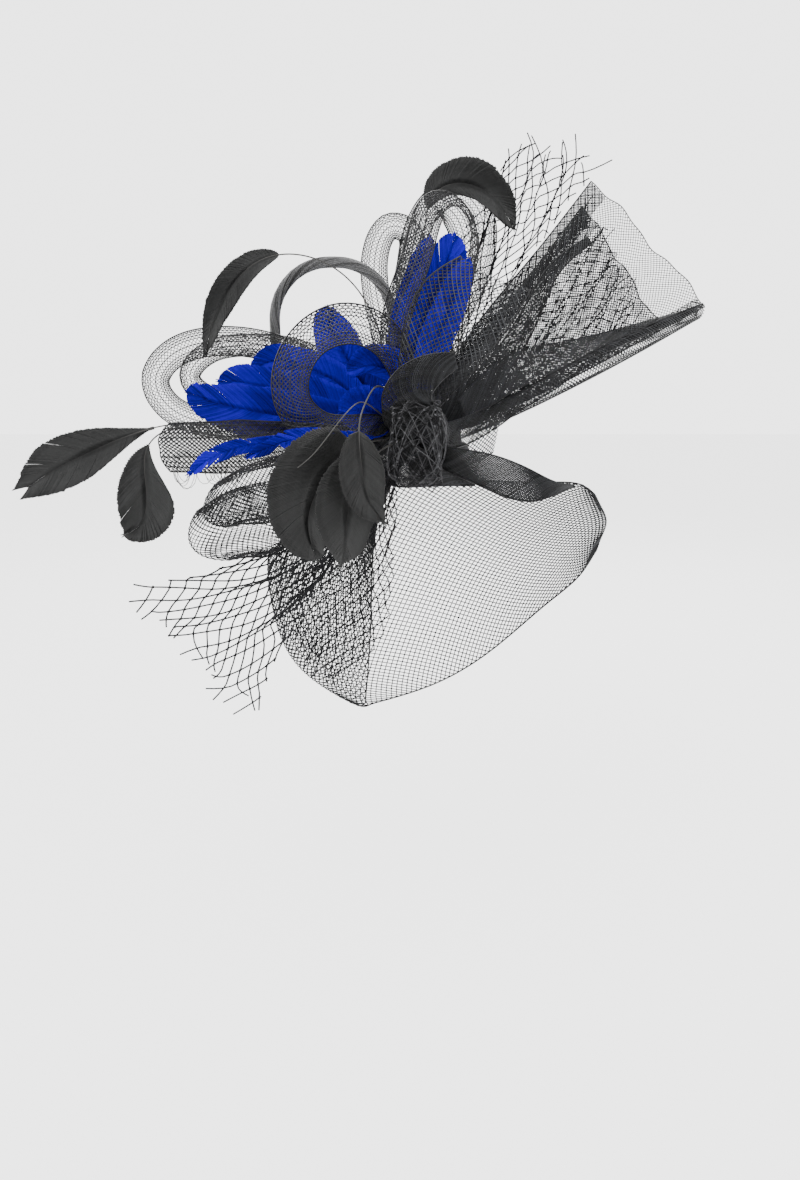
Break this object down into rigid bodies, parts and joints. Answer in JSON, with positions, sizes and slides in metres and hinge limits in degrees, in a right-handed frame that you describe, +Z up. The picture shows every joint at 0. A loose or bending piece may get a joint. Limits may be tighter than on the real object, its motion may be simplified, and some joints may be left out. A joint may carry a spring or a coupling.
{
  "type": "fascinator headpiece",
  "caption": "Clip-on fascinator: felt base with looped crinoline ribbons, a pleated mesh fan, a drooping mesh wing, diamond veiling and curled feathers, over a sprung hair clip.",
  "frame": {"origin": "middle of the round base's underside, in the plane of the lining that rests on the head", "axes": "+Z up, out of the head; +X towards the fan, which is to the right seen from the front; +Y to the back"},
  "size_m": [0.3134, 0.1541, 0.254],
  "materials": {
    "crinoline": "black nylon horsehair braid",
    "netting": "black diamond veiling",
    "blue_feather": "royal blue dyed feather",
    "black_feather": "black dyed feather with a green sheen",
    "felt": "black wool felt",
    "lining": "black satin lining",
    "clip_metal": "black enamelled spring steel"
  },
  "bodies": {
    "headpiece": {"black_leaf_arch": "black_feather", "black_leaf_big": "black_feather", "black_leaf_drop": "black_feather", "black_leaf_forked": "black_feather", "black_leaf_mid": "black_feather", "black_leaf_side": "black_feather", "black_leaf_top": "black_feather", "black_quill_bare": "black_feather", "blue_feather_back": "blue_feather", "blue_feather_bowl": "blue_feather", "blue_feather_curl": "blue_feather", "blue_feather_heart": "blue_feather", "blue_feather_long": "blue_feather", "blue_feather_main": "blue_feather", "blue_feather_right": "blue_feather", "blue_feather_tall": "blue_feather", "blue_feather_upper": "blue_feather", "blue_strip_long": "blue_feather", "blue_strip_short": "blue_feather", "clip_pin": "clip_metal", "clip_plate": "clip_metal", "crin_band_end": "crinoline", "crin_cone": "crinoline", "crin_cup": "crinoline", "crin_fan_back": "crinoline", "crin_fan_front": "crinoline", "crin_fan_hem": "crinoline", "crin_lobe_lower": "crinoline", "crin_lobe_upper": "crinoline", "crin_loop_front": "crinoline", "crin_loop_inner": "crinoline", "crin_loop_left": "crinoline", "crin_loop_mid": "crinoline", "crin_loop_pale": "crinoline", "crin_loop_top": "crinoline", "crin_tube_ring": "crinoline", "crin_wing": "crinoline", "crown_pad": "felt", "felt_base": "felt", "head_lining": "lining", "net_in_fan": "netting", "net_spray_lower": "netting", "net_spray_upper": "netting", "net_tuft": "netting", "net_veil": "netting", "spring_coil": "clip_metal"},
    "lever_jaw": {"clip_jaw": "clip_metal", "spring_leg": "clip_metal"}
  },
  "joints": [
    {"name": "clip_hinge", "type": "hinge", "parent": "headpiece", "child": "lever_jaw", "pos_m": [0, -0.005, -0.003], "axis": [-1, 0, 0], "range_deg": [0, 24], "stiffness_Nm_per_rad": 0.05, "springref_deg": -22.92}
  ]
}
